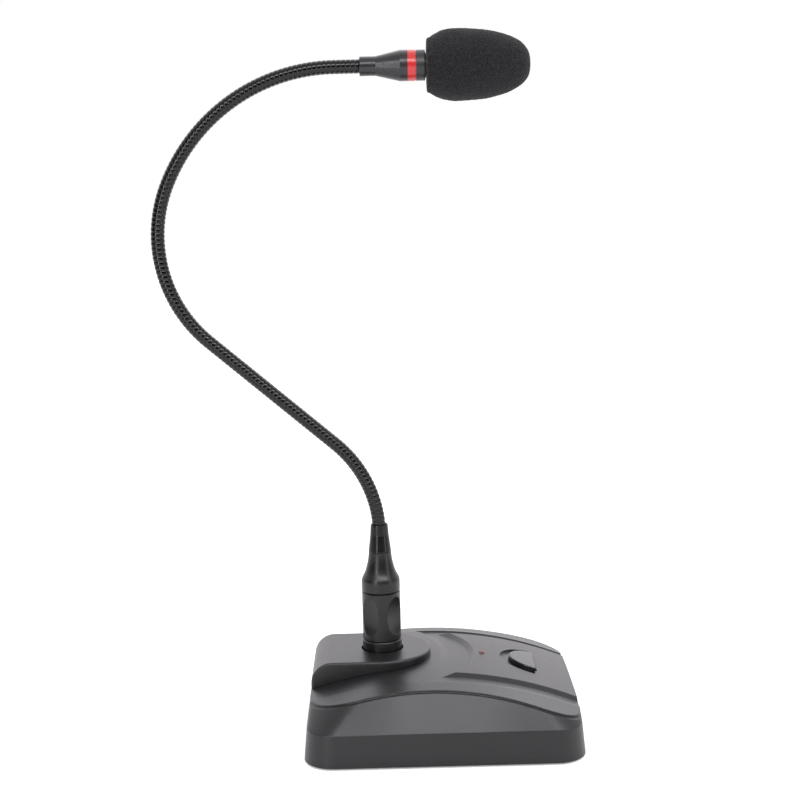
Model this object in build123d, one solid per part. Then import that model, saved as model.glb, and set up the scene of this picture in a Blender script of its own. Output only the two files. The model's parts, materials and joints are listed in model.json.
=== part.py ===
from build123d import *
import math
import os

# Gooseneck podium microphone, in millimetres. +X is the talker's side (front), +Z is up, and the stem,
# the gooseneck and the head lie in the plane y = 0. Everything is modelled about the base's centre and
# moved at the end, so that the origin is under the centre of the whole object's box.

# Base: outside
FOOT_HEIGHT = 1.0            # the skirt's lower edge stands this far above the table
BASE_LENGTH = 136.7
BASE_WIDTH = 125.0
BASE_CORNER = 15.1
SKIRT_HEIGHT = 15.7
SKIRT_DRAFT = 1.5
WALL = 2.6
ARCH_RADIUS = 190.0          # the lid's arch, seen from the side
ARCH_MID_X = -7.0
ARCH_PEAK = 34.8             # above the skirt's lower edge, at the channel's outer edges
EDGE_Y = 40.2                # half width at the channel's outer edges
STRIP_END_Y = 64.0           # the side strips slope on to here, outside the flanks
STRIP_DROP = 3.0
CROWN_RISE = 1.4
TAPER_TOP = 45.0             # the flanks and ends taper to this outline, above the lid
TAPER_LENGTH = 127.3
TAPER_WIDTH = 85.9
TAPER_CORNER = 37.0
TAPER_SHIFT = 0.85
FAR = 70.0                   # beyond every side of the base

# Base: details of the lid
CHANNEL_DEPTH = 0.9          # a U-shaped channel outlines the raised front panel
CHANNEL_LIP_Y = 39.4
CHANNEL_LIP = 0.75
PANEL_FOOT_Y = 34.0
PANEL_Y = 31.5
PANEL_RISE = 0.95
BACK_ARC = 55.0              # plan radius and centre of the channel's back edge
BACK_ARC_X = -50.0
PANEL_ARC = 46.0             # and of the panel's back edge
PANEL_ARC_X = -30.0
ARC_RAMP = 3.4               # plan width of the slopes along those two edges
RIM_GROOVE = 0.8             # width of the line that runs under the lid's edge
RIM_DEPTH = 0.6

# Tower and stem socket
STEM_X = -29.5
TOWER_HALF = 24.6
TOWER_BACK = -65.3
TOWER_TOP = 39.7             # above the skirt's lower edge
TOWER_BACK_FILLET = 10.5
TOWER_EDGE = 1.2
STEM_HOLE = 10.7
SOCKET_OUTER = 12.4
SOCKET_FLANGE = 13.6
SOCKET_BORE = 10.2
SOCKET_FLOOR = 15.5
INSERT_TOP = 35.0
CONTACT_CIRCLE = 3.8         # radius of the circle the contacts stand on
CONTACT_ANGLES = (90, 180, 270)
TOWER_SCREWS = [(-54.0, -15.0), (-54.0, 15.0)]

# Button and lamp
BUTTON_X = 48.0              # flat front side of the half-moon button
BUTTON_RADIUS = 12.6
BUTTON_PROUD = 1.3
BUTTON_CLEARANCE = 0.35
BUTTON_TRAVEL = 1.5
SCOOP_RADIUS = 17.4
SCOOP_DEPTH = 1.3
STEM_INSET = 5.5             # the button's stem stands this far behind its flat side
LAMP_X = 21.3
LAMP_RADIUS = 1.5

# Inside the base
PLATE_BOTTOM = 1.6
PLATE_THICKNESS = 2.0
SCREW_X = 57.0
SCREW_Y = 51.0
FOOT_X = 50.0
FOOT_Y = 43.0
BALLAST_SCREWS = [(-36.0, 32.0), (42.0, 32.0)]
BOARD_HOLES = [(x, y) for x in (-6.0, 48.0) for y in (-13.5, 10.5)]
BOARD_Z = 18.0
BOARD_THICKNESS = 1.6
BATTERY_X = 12.0
BATTERY_Y = -37.0
BATTERY_PITCH = 15.2
CELL_RADIUS = 7.1
CELL_LENGTH = 49.5
DOOR_LENGTH = 57.0
DOOR_WIDTH = 33.0
HATCH_GAP = 0.4
PIN_RADIUS = 0.5             # the battery door's trunnions
PIN_LENGTH = 1.2
TRAY_HALF_LENGTH = 28.4
TRAY_HALF_WIDTH = 16.4
TRAY_HEIGHT = 16.6
TRAY_WALL = 1.3
JACK_Z = 10.2
JACK_BORE = 3.25
JACK_BARREL_LENGTH = 12.0
JACK_BARREL_RADIUS = 4.4
JACK_POCKET = 6.2            # the nut sits in a round pocket, flush with the back wall
JACK_NUT_RADIUS = 5.9
JACK_FACE_X = -65.2          # the pocket's floor
JACK_WALL_X = -62.6          # inner face of the boss behind it
JACK_INNER_X = -42.0
JACK_OUTER_X = -67.4

# Stem
BARREL_RADIUS = 9.75
BARREL_BOTTOM = 45.6
BARREL_TOP = 70.5
CONE_TOP = 91.1
BOOT_TOP = 105.3
NECK_RADIUS = 3.45
NECK_BORE = 2.0
CABLE_RADIUS = 1.2
SCALLOP_TURN = -40.0         # the thumb scallops are ellipsoid dishes at four corners
SCALLOP_OFFSET = 11.95
SCALLOP_AXES = (4.0, 14.0, 11.9)
BARREL_BORE = 7.6

# Gooseneck centreline: arcs of (length, turn in degrees to the left), from this height straight up
NECK_START = 101.0
NECK_ARCS = [(52.2, 49.0), (80.6, 0.0), (84.6, -72.1), (105.2, -66.4), (15.9, -0.9)]
NECK_ROOT = 16.0             # straight length of gooseneck hidden in the stem
NECK_TAIL = 4.0              # and in the head, past the end of the arcs
NECK_HINGES = 8
NECK_FREE_START = 4.3        # where the gooseneck leaves the boot, along the centreline
NECK_GAP = 1.6               # half of the gap between sections, at a hinge

# Head, along its own axis from the sleeve's back end
HEAD_START_BACK = 2.6        # the sleeve starts this far before the end of the arcs
SLEEVE_RADIUS = 4.65
SLEEVE_LENGTH = 7.7
HEAD_RADIUS = 7.45
HEAD_CONE_END = 19.6
RING_START = 23.2
RING_END = 27.3
COLLAR_END = 31.7
CAPSULE_RADIUS = 6.0
CAPSULE_END = 56.0
FOAM_START = 32.5
FOAM_LENGTH = 50.4
FOAM_RADIUS = 17.5
FOAM_BACK_RADIUS = 13.0
FOAM_WIDEST = 14.5           # from the foam's back face
FOAM_BORE = 6.3


def disc_prism(radius, bottom, top, x=0.0, y=0.0):
    """An upright cylinder between two heights."""
    return Pos(x, y, (bottom + top) / 2) * Cylinder(radius, top - bottom)


def block(x_low, x_high, y_low, y_high, z_low, z_high):
    """A box between two corners."""
    centre = Pos((x_low + x_high) / 2, (y_low + y_high) / 2, (z_low + z_high) / 2)
    return centre * Box(x_high - x_low, y_high - y_low, z_high - z_low)


def turned(points, axis_plane):
    """A solid of revolution about axis_plane's local Y, from (radius, height) points."""
    profile = make_face(Polyline(*points, close=True))
    return axis_plane * revolve(profile, axis=Axis.Y)


UPRIGHT = Plane(origin=(0, 0, 0), x_dir=(1, 0, 0), z_dir=(0, -1, 0))


def upright_turned(points, x=0.0, y=0.0):
    return Pos(x, y, 0) * turned(points, UPRIGHT)


def outline(z, length, width, corner, x=0.0):
    return Pos(x, 0, z) * RectangleRounded(length, width, corner)


def skirt(inset=0.0, below=0.0):
    """The near-vertical lower band of the base."""
    top_z = FOOT_HEIGHT + SKIRT_HEIGHT
    low = outline(FOOT_HEIGHT - below, BASE_LENGTH - 2 * inset, BASE_WIDTH - 2 * inset, BASE_CORNER - inset)
    drafted = 2 * (SKIRT_DRAFT + inset)
    high = outline(top_z, BASE_LENGTH - drafted, BASE_WIDTH - drafted, BASE_CORNER - SKIRT_DRAFT - inset)
    return loft([low, high], ruled=True)


def taper(inset=0.0, side_inset=0.0):
    """The sloping flanks and the steep ends above the skirt, carried up past the lid."""
    drafted = 2 * (SKIRT_DRAFT + inset)
    low = outline(
        FOOT_HEIGHT + SKIRT_HEIGHT, BASE_LENGTH - drafted, BASE_WIDTH - drafted - 2 * side_inset,
        BASE_CORNER - SKIRT_DRAFT - inset,
    )
    high = outline(
        FOOT_HEIGHT + TAPER_TOP, TAPER_LENGTH - 2 * inset, TAPER_WIDTH - 2 * (inset + side_inset),
        TAPER_CORNER - inset, TAPER_SHIFT,
    )
    return loft([low, high], ruled=True)


def arch_height(x, lift=0.0):
    """Height of the lid's side edge at x."""
    centre_z = FOOT_HEIGHT + ARCH_PEAK - ARCH_RADIUS
    return centre_z + math.sqrt((ARCH_RADIUS + lift) ** 2 - (x - ARCH_MID_X) ** 2)


def crown(y):
    """How far the lid rises above its side edges."""
    return CROWN_RISE * (1 - (y / EDGE_Y) ** 2)


def lid(edge, lift=0.0):
    """Everything under the lid: a half cross-section from the strip inwards, turned about the arch's axis.

    edge lists (y, height over the side edge) from outside to inside, the last two being a point of the
    crown and its middle at y = 0.
    """
    peak = FOOT_HEIGHT + ARCH_PEAK + lift
    low = -ARCH_RADIUS / 4
    side = [(STRIP_END_Y, -STRIP_DROP)] + edge[:-1]
    left = [(-y, peak + h) for y, h in side]
    right = [(y, peak + h) for y, h in reversed(side)]
    floor = [(-STRIP_END_Y, low), (STRIP_END_Y, low)]
    sides_and_floor = Polyline(left[-1], *reversed(left[:-1]), *floor, *reversed(right))
    top = ThreePointArc(left[-1], (0, peak + edge[-1][1]), right[0])
    across = Plane(origin=(ARCH_MID_X, 0, 0), x_dir=(0, 1, 0), z_dir=(1, 0, 0))
    profile = across * make_face(sides_and_floor + top)
    axis = Axis((ARCH_MID_X, 0, FOOT_HEIGHT + ARCH_PEAK - ARCH_RADIUS), (0, 1, 0))
    swing = 60
    return revolve(profile.rotate(axis, -swing / 2), axis=axis, revolution_arc=swing)


def plain_lid(lift=0.0):
    return lid([(EDGE_Y, 0), (0, CROWN_RISE)], lift)


def channel_lid():
    """The lid with the channel's floor right across it."""
    return lid([(EDGE_Y, 0), (CHANNEL_LIP_Y, -CHANNEL_LIP), (0, CROWN_RISE - CHANNEL_DEPTH)])


def panel_lid(lift=0.0):
    """The lid with the channel along both sides and the raised panel between."""
    floor = crown(PANEL_FOOT_Y) - CHANNEL_DEPTH
    edge = [(EDGE_Y, 0), (CHANNEL_LIP_Y, -CHANNEL_LIP), (PANEL_FOOT_Y, floor)]
    edge += [(PANEL_Y, crown(PANEL_Y) + PANEL_RISE), (0, CROWN_RISE + PANEL_RISE)]
    return lid(edge, lift)


def ramp_cone(radius, x, widening, height):
    """A steep-sided cone about an upright axis, of the given radius at the lid's level there."""
    slope = ARC_RAMP / height * widening
    level = FOOT_HEIGHT + ARCH_PEAK
    reach = 14.0
    low, high = radius - slope * reach, radius + slope * reach
    return Pos(x, 0, level) * Cone(low, high, 2 * reach)


def base_top():
    """The lid with its channel and panel."""
    behind = ramp_cone(BACK_ARC, BACK_ARC_X, -1, CHANNEL_DEPTH)
    height = CHANNEL_DEPTH + PANEL_RISE
    before = ramp_cone(PANEL_ARC, PANEL_ARC_X, 1, height)
    front = block(PANEL_ARC_X + 20, 2 * FAR, -FAR, FAR, 0, 60)
    return channel_lid() + (plain_lid() & behind) + ((panel_lid() & front) - before)


def rim_groove():
    """The thin line under the lid's edge along both flanks. It fades out round the corners."""
    top = RIM_GROOVE / 2
    band = plain_lid(-top) - plain_lid(-top - RIM_GROOVE)
    sides = block(-FAR, FAR, -FAR, -EDGE_Y, 0, 60) + block(-FAR, FAR, EDGE_Y, FAR, 0, 60)
    return (band & sides) - taper(0, RIM_DEPTH)


def base_outside():
    return skirt() + (taper() & base_top()) - rim_groove()


def base_inside():
    inner_lid = plain_lid(-WALL - CHANNEL_DEPTH)
    return skirt(WALL, 1.0) + (taper(WALL) & inner_lid)


def button_plan(radius, front, bottom, top):
    """The half-moon button's plan as an upright prism."""
    return disc_prism(radius, bottom, top, BUTTON_X) & block(0, front, -FAR, FAR, bottom, top)


def base_screw_places():
    return [(sx * SCREW_X, sy * SCREW_Y) for sx in (-1, 1) for sy in (-1, 1)]


def base_cover(outside, inside):
    cover = outside - inside
    plate_top = PLATE_BOTTOM + PLATE_THICKNESS
    bosses = [disc_prism(3.6, plate_top, 40, x, y) for x, y in base_screw_places()]
    for boss in bosses:
        cover += boss & (taper(0.5) + skirt(0.5)) & plain_lid(-1.5)
    for x, y in base_screw_places():
        cover -= disc_prism(1.25, plate_top - 1, plate_top + 9, x, y)
    cover -= disc_prism(SOCKET_FLANGE + 0.4, 0, 60, STEM_X)
    for x, y in TOWER_SCREWS:
        cover -= disc_prism(1.7, 20, 60, x, y)
    scoop = button_plan(SCOOP_RADIUS, BUTTON_X - 1, 20, 60) - panel_lid(-SCOOP_DEPTH)
    hole = button_plan(BUTTON_RADIUS + BUTTON_CLEARANCE, BUTTON_X + BUTTON_CLEARANCE, 20, 60)
    cover -= scoop + hole
    cover -= disc_prism(LAMP_RADIUS + 0.1, 20, 60, LAMP_X)
    jack_boss = along_x(JACK_POCKET + 2, JACK_FACE_X - 1.5, JACK_WALL_X)
    cover += jack_boss & block(-FAR, 0, -FAR, FAR, plate_top + 0.2, 60)
    cover -= along_x(JACK_BARREL_RADIUS + 0.3, -FAR, JACK_WALL_X + 1)
    return cover - along_x(JACK_POCKET, -FAR, JACK_FACE_X)


def tower_prism(inset, top):
    plan = block(TOWER_BACK + inset, STEM_X, -TOWER_HALF + inset, TOWER_HALF - inset, 15, top)
    return plan + disc_prism(TOWER_HALF - inset, 15, top, STEM_X)


def socket_tower(outside):
    """The moulded housing round the stem socket: flat top, rounded back, round front."""
    top = FOOT_HEIGHT + TOWER_TOP
    body = tower_prism(0, top)
    back = body.edges().filter_by(Axis.Y).sort_by(Axis.Z)[-1]
    body = fillet(back, TOWER_BACK_FILLET)
    rim = [e for e in body.edges() if e.center().Z > 28 and abs(e.center().Z - 15) > 1]
    rim = [e for e in rim if not on_vertical(e)]
    body = fillet(rim, TOWER_EDGE)
    hollow = tower_prism(WALL - 0.2, top - WALL + 0.2)
    hollow_back = hollow.edges().filter_by(Axis.Y).sort_by(Axis.Z)[-1]
    hollow = fillet(hollow_back, TOWER_BACK_FILLET - WALL)
    shell = body - hollow
    for x, y in TOWER_SCREWS:
        shell += disc_prism(3.4, 20, top - 2, x, y)
        shell -= disc_prism(1.2, 20, top - 4, x, y)
    shell -= disc_prism(STEM_HOLE, 20, 60, STEM_X)
    return shell - outside - base_inside()


def on_vertical(edge):
    """True for straight edges that stand upright or lie across the body at the back."""
    direction = edge.tangent_at(0.5)
    return edge.geom_type == GeomType.LINE and (abs(direction.Z) > 0.9 or abs(direction.Y) > 0.9)


def bottom_plate():
    """The flat plate that closes the base from below, with the battery hatch cut out of it."""
    inset = WALL + 0.4
    plan = outline(PLATE_BOTTOM, BASE_LENGTH - 2 * inset, BASE_WIDTH - 2 * inset, BASE_CORNER - inset)
    plate = extrude(plan, PLATE_THICKNESS)
    half_length, half_width = DOOR_LENGTH / 2 + HATCH_GAP, DOOR_WIDTH / 2 + HATCH_GAP
    plate -= block(
        BATTERY_X - half_length, BATTERY_X + half_length,
        BATTERY_Y - half_width, BATTERY_Y + half_width, 0, 10,
    )
    plate -= door_pin(PIN_RADIUS + 0.06, PIN_LENGTH + 0.2)
    for x, y in base_screw_places():
        plate -= disc_prism(1.7, 0, 10, x, y)
    return plate


def base_screws():
    """Four pan-head self-tapping screws from below, with cross recesses."""
    screws = []
    for x, y in base_screw_places():
        head = disc_prism(2.9, 0.4, PLATE_BOTTOM, x, y)
        head -= block(x - 1.6, x + 1.6, y - 0.3, y + 0.3, 0, 1.1)
        head -= block(x - 0.3, x + 0.3, y - 1.6, y + 1.6, 0, 1.1)
        shank = disc_prism(1.25, PLATE_BOTTOM, PLATE_BOTTOM + PLATE_THICKNESS + 8, x, y)
        screws.append(head + shank)
    return screws


def rubber_feet():
    """Four round feet stuck under the bottom plate."""
    profile = [(0, 0), (5.4, 0), (6.0, 0.6), (6.0, PLATE_BOTTOM), (0, PLATE_BOTTOM)]
    places = [(sx * FOOT_X, sy * FOOT_Y) for sx in (-1, 1) for sy in (-1, 1)]
    return [upright_turned(profile, x, y) for x, y in places]


def door_pin(radius, reach):
    """A pin on the battery door's hinge line that reaches past both of the door's sides."""
    x = BATTERY_X - DOOR_LENGTH / 2 + PLATE_THICKNESS / 2 - 0.1
    z = PLATE_BOTTOM + PLATE_THICKNESS / 2
    return Pos(x, BATTERY_Y, z) * Rot(90, 0, 0) * Cylinder(radius, DOOR_WIDTH + 2 * (HATCH_GAP + reach))


def battery_door():
    """The hatch cover: a plate with a round knuckle along its back edge and a finger grip at the front."""
    low, high = PLATE_BOTTOM + 0.1, PLATE_BOTTOM + PLATE_THICKNESS - 0.1
    radius = (high - low) / 2
    x_back = BATTERY_X - DOOR_LENGTH / 2
    half = DOOR_WIDTH / 2
    door = block(x_back + radius, BATTERY_X + DOOR_LENGTH / 2, BATTERY_Y - half, BATTERY_Y + half, low, high)
    door += Pos(x_back + radius, BATTERY_Y, low + radius) * Rot(90, 0, 0) * Cylinder(radius, DOOR_WIDTH)
    door += door_pin(PIN_RADIUS, PIN_LENGTH)
    grip_x = BATTERY_X + DOOR_LENGTH / 2 - 6
    for step in range(4):
        x = grip_x - 2.4 * step
        door -= block(x - 0.6, x + 0.6, BATTERY_Y - 7, BATTERY_Y + 7, low - 1, low + 0.6)
    return door


def battery_box():
    """An open-bottomed tray over the hatch that holds two cells side by side."""
    x_low, x_high = BATTERY_X - TRAY_HALF_LENGTH, BATTERY_X + TRAY_HALF_LENGTH
    y_low, y_high = BATTERY_Y - TRAY_HALF_WIDTH, BATTERY_Y + TRAY_HALF_WIDTH
    bottom = PLATE_BOTTOM + PLATE_THICKNESS
    top = bottom + TRAY_HEIGHT
    wall = TRAY_WALL
    tray = block(x_low, x_high, y_low, y_high, bottom, top)
    tray -= block(x_low + wall, x_high - wall, y_low + wall, y_high - wall, bottom - 1, top - wall)
    rib = block(x_low, x_high, BATTERY_Y - 0.3, BATTERY_Y + 0.3, top - 4, top)
    return tray + (rib - block(x_low + 6, x_high - 6, -FAR, 0, bottom, top - wall))


def cell_rows():
    return [BATTERY_Y - BATTERY_PITCH / 2, BATTERY_Y + BATTERY_PITCH / 2]


def cell_height():
    return PLATE_BOTTOM + PLATE_THICKNESS + 0.3 + CELL_RADIUS


def battery_cells():
    """Two AA cells, head to tail."""
    cells = []
    for row, y in enumerate(cell_rows()):
        way = 1 - 2 * row
        place = Pos(BATTERY_X, y, cell_height()) * Rot(0, 90 * way, 0)
        half = CELL_LENGTH / 2
        profile = [
            (0, -half), (5.5, -half), (6.6, -half + 0.6), (CELL_RADIUS, -half + 1.2),
            (CELL_RADIUS, half - 2.4), (6.4, half - 1.6), (2.7, half - 1.4), (2.7, half), (0, half),
        ]
        cells.append(place * turned(profile, Plane(origin=(0, 0, 0), x_dir=(1, 0, 0), z_dir=(0, -1, 0))))
    return cells


def battery_contacts():
    """Spring plates at both ends of the cells; one joins the two cells."""
    reach = TRAY_HALF_LENGTH - TRAY_WALL
    thin = 0.4
    z_low, z_high = cell_height() - 5, cell_height() + 5
    joined = block(BATTERY_X - reach, BATTERY_X - reach + thin, BATTERY_Y - 13, BATTERY_Y + 13, z_low, z_high)
    plates = [joined]
    for y in cell_rows():
        plates.append(block(BATTERY_X + reach - thin, BATTERY_X + reach, y - 5, y + 5, z_low, z_high))
    coils = []
    for row, y in enumerate(cell_rows()):
        side = 1 if row else -1
        gap = reach - thin - CELL_LENGTH / 2
        centre = BATTERY_X + side * (reach - thin - gap / 2)
        cone = Pos(centre, y, cell_height()) * Rot(0, 90 * side, 0) * Cone(1.6, 4.2, gap - 0.1)
        coils.append(cone - Pos(centre, y, cell_height()) * Rot(0, 90 * side, 0) * Cone(1.0, 3.5, gap + 0.2))
    return plates + coils


def ballast_weight():
    """A steel bar that keeps the long neck from tipping the base, with its two fixing holes."""
    bottom = PLATE_BOTTOM + PLATE_THICKNESS
    bar = block(-46, 52, 16, 48, bottom, bottom + 9)
    bar = fillet(bar.edges().filter_by(Axis.Z), 3)
    for x, y in BALLAST_SCREWS:
        bar -= disc_prism(2.1, 0, 30, x, y)
    return bar


def ballast_screws():
    bottom = PLATE_BOTTOM + PLATE_THICKNESS
    screws = []
    for x, y in BALLAST_SCREWS:
        screw = disc_prism(1.9, bottom, bottom + 9, x, y) + disc_prism(3.6, bottom + 9, bottom + 11, x, y)
        screw -= block(x - 2.2, x + 2.2, y - 0.4, y + 0.4, bottom + 10, bottom + 12)
        screws.append(screw)
    return screws


def main_board():
    """The amplifier and switch board, on four posts' height under the panel."""
    board = block(-10, 52, -17, 14, BOARD_Z, BOARD_Z + BOARD_THICKNESS)
    for x, y in BOARD_HOLES:
        board -= disc_prism(1.6, 0, 60, x, y)
    return board


def board_posts():
    """Four spacer posts that carry the board on the bottom plate."""
    bottom = PLATE_BOTTOM + PLATE_THICKNESS
    posts = []
    for x, y in BOARD_HOLES:
        posts.append(disc_prism(3.0, bottom, BOARD_Z, x, y) - disc_prism(1.2, BOARD_Z - 8, BOARD_Z + 1, x, y))
    return posts


def board_screws():
    screws = []
    top = BOARD_Z + BOARD_THICKNESS
    for x, y in BOARD_HOLES:
        screws.append(disc_prism(1.15, BOARD_Z - 6, top, x, y) + disc_prism(2.5, top, top + 1.4, x, y))
    return screws


def board_components():
    """The larger parts on the board: two capacitors, an amplifier chip, a transformer can and a header."""
    top = BOARD_Z + BOARD_THICKNESS
    can = disc_prism(3.2, top, top + 7, 2, -9) + disc_prism(3.2, top, top + 7, 10, -9)
    parts = list(can.solids())
    chip = block(14, 22, 3, 8, top + 0.6, top + 2.6)
    for pin in range(4):
        x = 15 + 2 * pin
        chip += block(x - 0.3, x + 0.3, 1.6, 9.4, top, top + 0.9)
    parts.append(chip)
    parts.append(block(-2.5, 8, -2, 7, top, top + 6))
    parts.append(block(16, 26, -15, -11, top, top + 5.5))
    return parts


def switch_body():
    """The push switch under the button."""
    top = BOARD_Z + BOARD_THICKNESS
    x = BUTTON_X - STEM_INSET
    body = block(x - 4, x + 4, -4, 4, top, top + 3.0)
    return body - disc_prism(2.2, switch_floor(), top + 10, x)


def switch_floor():
    return BOARD_Z + BOARD_THICKNESS + 0.8


def button_stem_bottom():
    return switch_floor() + BUTTON_TRAVEL + 0.5


def button_spring():
    """The return spring on the switch's floor, under the button's stem."""
    wire, turns, gap = 0.18, 3, 0.03
    bottom = switch_floor() + wire + gap
    top = button_stem_bottom() - wire - gap
    coil = Helix(pitch=(top - bottom) / turns, height=top - bottom, radius=1.5)
    path = Pos(BUTTON_X - STEM_INSET, 0, bottom) * coil
    section = Plane(origin=path @ 0, z_dir=path % 0) * Circle(wire)
    return sweep(section, path=path, is_frenet=True)


def push_button():
    """The half-moon talk button: crowned cap with a flange inside the lid and a stem into the switch."""
    cap = button_plan(BUTTON_RADIUS, BUTTON_X, 20, 60) & panel_lid(BUTTON_PROUD)
    top_edges = [e for e in cap.edges() if e.center().Z > 28 and abs(e.tangent_at(0.5).Z) < 0.7]
    cap = fillet(top_edges, 0.5)
    ceiling = -WALL - CHANNEL_DEPTH - 0.2
    flange_thickness, flange_width = 1.0, 1.2
    below = plain_lid(ceiling - flange_thickness)
    flange = button_plan(BUTTON_RADIUS + flange_width, BUTTON_X + flange_width, 10, 60) & plain_lid(ceiling)
    x = BUTTON_X - STEM_INSET
    stem = disc_prism(1.9, button_stem_bottom(), arch_height(x, ceiling) + CROWN_RISE, x)
    return (cap + flange - below) + stem


def status_lamp():
    """A small round lamp whose dome shows in the panel, on its legs."""
    lens = disc_prism(LAMP_RADIUS, 30, 60, LAMP_X) & panel_lid(-0.2)
    lens += Pos(LAMP_X, 0, lens.bounding_box().max.Z - 0.4) * Sphere(LAMP_RADIUS * 0.9)
    board_top = BOARD_Z + BOARD_THICKNESS
    legs = [block(LAMP_X - 0.25, LAMP_X + 0.25, y - 0.25, y + 0.25, board_top, 30.5) for y in (-0.9, 0.9)]
    return lens + legs[0] + legs[1]


def stem_socket_shell():
    """The receptacle in the tower: a cup with a flange under the tower's roof."""
    roof = FOOT_HEIGHT + TOWER_TOP - WALL + 0.2
    profile = [
        (0, SOCKET_FLOOR), (SOCKET_OUTER, SOCKET_FLOOR), (SOCKET_OUTER, roof - 1.6),
        (SOCKET_FLANGE, roof - 1.6), (SOCKET_FLANGE, roof), (SOCKET_BORE, roof),
        (SOCKET_BORE, SOCKET_FLOOR + 2), (0, SOCKET_FLOOR + 2),
    ]
    cup = upright_turned(profile, STEM_X)
    for angle in CONTACT_ANGLES:
        x, y = contact_place(angle)
        cup -= disc_prism(1.9, SOCKET_FLOOR - 1, SOCKET_FLOOR + 3, x, y)
    return cup


def contact_place(angle):
    turn = math.radians(angle)
    return STEM_X + CONTACT_CIRCLE * math.cos(turn), CONTACT_CIRCLE * math.sin(turn)


def socket_insert():
    """The insulating plug that holds the three contact sleeves."""
    insert = disc_prism(7.6, SOCKET_FLOOR + 2, INSERT_TOP, STEM_X)
    for angle in CONTACT_ANGLES:
        insert -= disc_prism(1.8, 0, 60, *contact_place(angle))
    return insert - block(STEM_X + 6.2, STEM_X + 9, -1.2, 1.2, SOCKET_FLOOR + 4, 60)


def socket_contacts():
    """Three sprung sleeves with solder tails below the cup."""
    sleeves = []
    for angle in CONTACT_ANGLES:
        x, y = contact_place(angle)
        sleeve = disc_prism(1.7, SOCKET_FLOOR + 2, INSERT_TOP - 0.5, x, y)
        sleeve -= disc_prism(1.25, SOCKET_FLOOR + 5, 60, x, y)
        sleeves.append(sleeve + disc_prism(0.8, SOCKET_FLOOR - 3.2, SOCKET_FLOOR + 3, x, y))
    return sleeves


def tower_screws():
    """Two screws from inside the lid up into the tower's bosses."""
    screws = []
    for x, y in TOWER_SCREWS:
        under = underside_height(x)
        screws.append(disc_prism(2.8, under - 1.8, under, x, y) + disc_prism(1.2, under, under + 9, x, y))
    return screws


def underside_height(x):
    return arch_height(x, -WALL - CHANNEL_DEPTH)


def jack_body():
    """The moulded body of the 6.35 mm output jack, inside the back wall."""
    body = block(JACK_WALL_X, JACK_INNER_X, -7.5, 7.5, JACK_Z - 5.6, JACK_Z + 5.8)
    tunnel = along_x(JACK_BORE + 0.6, JACK_WALL_X - 1, JACK_INNER_X - 3)
    seat = along_x(JACK_BARREL_RADIUS + 0.05, JACK_WALL_X - 1, JACK_OUTER_X + JACK_BARREL_LENGTH)
    return body - tunnel - seat


def along_x(radius, x_low, x_high, y=0.0, z=None):
    height = JACK_Z if z is None else z
    return Pos((x_low + x_high) / 2, y, height) * Rot(0, 90, 0) * Cylinder(radius, abs(x_high - x_low))


def jack_bushing():
    """The threaded metal bushing that passes through the back wall."""
    inner_x = JACK_OUTER_X + JACK_BARREL_LENGTH
    return along_x(JACK_BARREL_RADIUS, JACK_OUTER_X, inner_x) - along_x(JACK_BORE, -FAR, inner_x + 1)


def jack_nut():
    """The round nut in the back wall's pocket, with four spanner slots."""
    outer_x = JACK_FACE_X - 1.6
    nut = along_x(JACK_NUT_RADIUS, outer_x, JACK_FACE_X)
    slots = block(outer_x - 1, outer_x + 0.8, -9, 9, JACK_Z - 0.6, JACK_Z + 0.6)
    slots += block(outer_x - 1, outer_x + 0.8, -0.6, 0.6, JACK_Z - 9, JACK_Z + 9)
    return nut - slots - along_x(JACK_BARREL_RADIUS + 0.05, -FAR, JACK_FACE_X + 1)


def jack_contacts():
    """Tip and ring springs in the jack, with their solder tags."""
    tags = []
    for side in (-1, 1):
        y = side * 5.2
        tags.append(block(JACK_INNER_X, JACK_INNER_X + 5, y - 0.25, y + 0.25, JACK_Z - 1.5, JACK_Z + 1.5))
    return tags


def plug_shell():
    """The plug's metal nose: a visible collar over the socket and a tube that goes down round the insert."""
    profile = [
        (8.2, SOCKET_FLOOR + 2), (9.6, SOCKET_FLOOR + 2), (9.6, 38.0), (9.95, 38.6),
        (9.95, BARREL_BOTTOM - 0.5), (9.6, BARREL_BOTTOM), (BARREL_BORE - 0.05, BARREL_BOTTOM),
        (BARREL_BORE - 0.05, BARREL_BOTTOM + 10), (6.7, BARREL_BOTTOM + 10), (6.7, BARREL_BOTTOM - 3),
        (8.2, BARREL_BOTTOM - 3),
    ]
    return upright_turned(profile, STEM_X)


def plug_insert():
    """The insulator that carries the plug's pins."""
    disc = disc_prism(6.65, 43.0, 52.0, STEM_X)
    for angle in CONTACT_ANGLES:
        disc -= disc_prism(1.25, 0, 99, *contact_place(angle))
    return disc


def plug_pins():
    pins = []
    for angle in CONTACT_ANGLES:
        x, y = contact_place(angle)
        profile = [(0, 22.0), (0.6, 22.0), (1.15, 22.8), (1.15, 43.0), (1.2, 43.0), (1.2, 54.5), (0, 54.5)]
        pins.append(upright_turned(profile, x, y))
    return pins


def barrel():
    """The plug's housing with four oval thumb scallops."""
    profile = [
        (BARREL_BORE, BARREL_BOTTOM), (BARREL_RADIUS - 0.4, BARREL_BOTTOM),
        (BARREL_RADIUS, BARREL_BOTTOM + 0.5), (BARREL_RADIUS, BARREL_TOP - 0.4),
        (BARREL_RADIUS - 0.4, BARREL_TOP), (BARREL_BORE, BARREL_TOP),
    ]
    tube = upright_turned(profile, STEM_X)
    middle = (BARREL_BOTTOM + BARREL_TOP) / 2 + 0.6
    for quarter in range(4):
        angle = SCALLOP_TURN + 90 * quarter
        dish = Pos(STEM_X, 0, middle) * Rot(0, 0, angle) * Pos(SCALLOP_OFFSET, 0, 0)
        tube -= dish * scale(Sphere(1), by=SCALLOP_AXES)
    return tube


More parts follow.
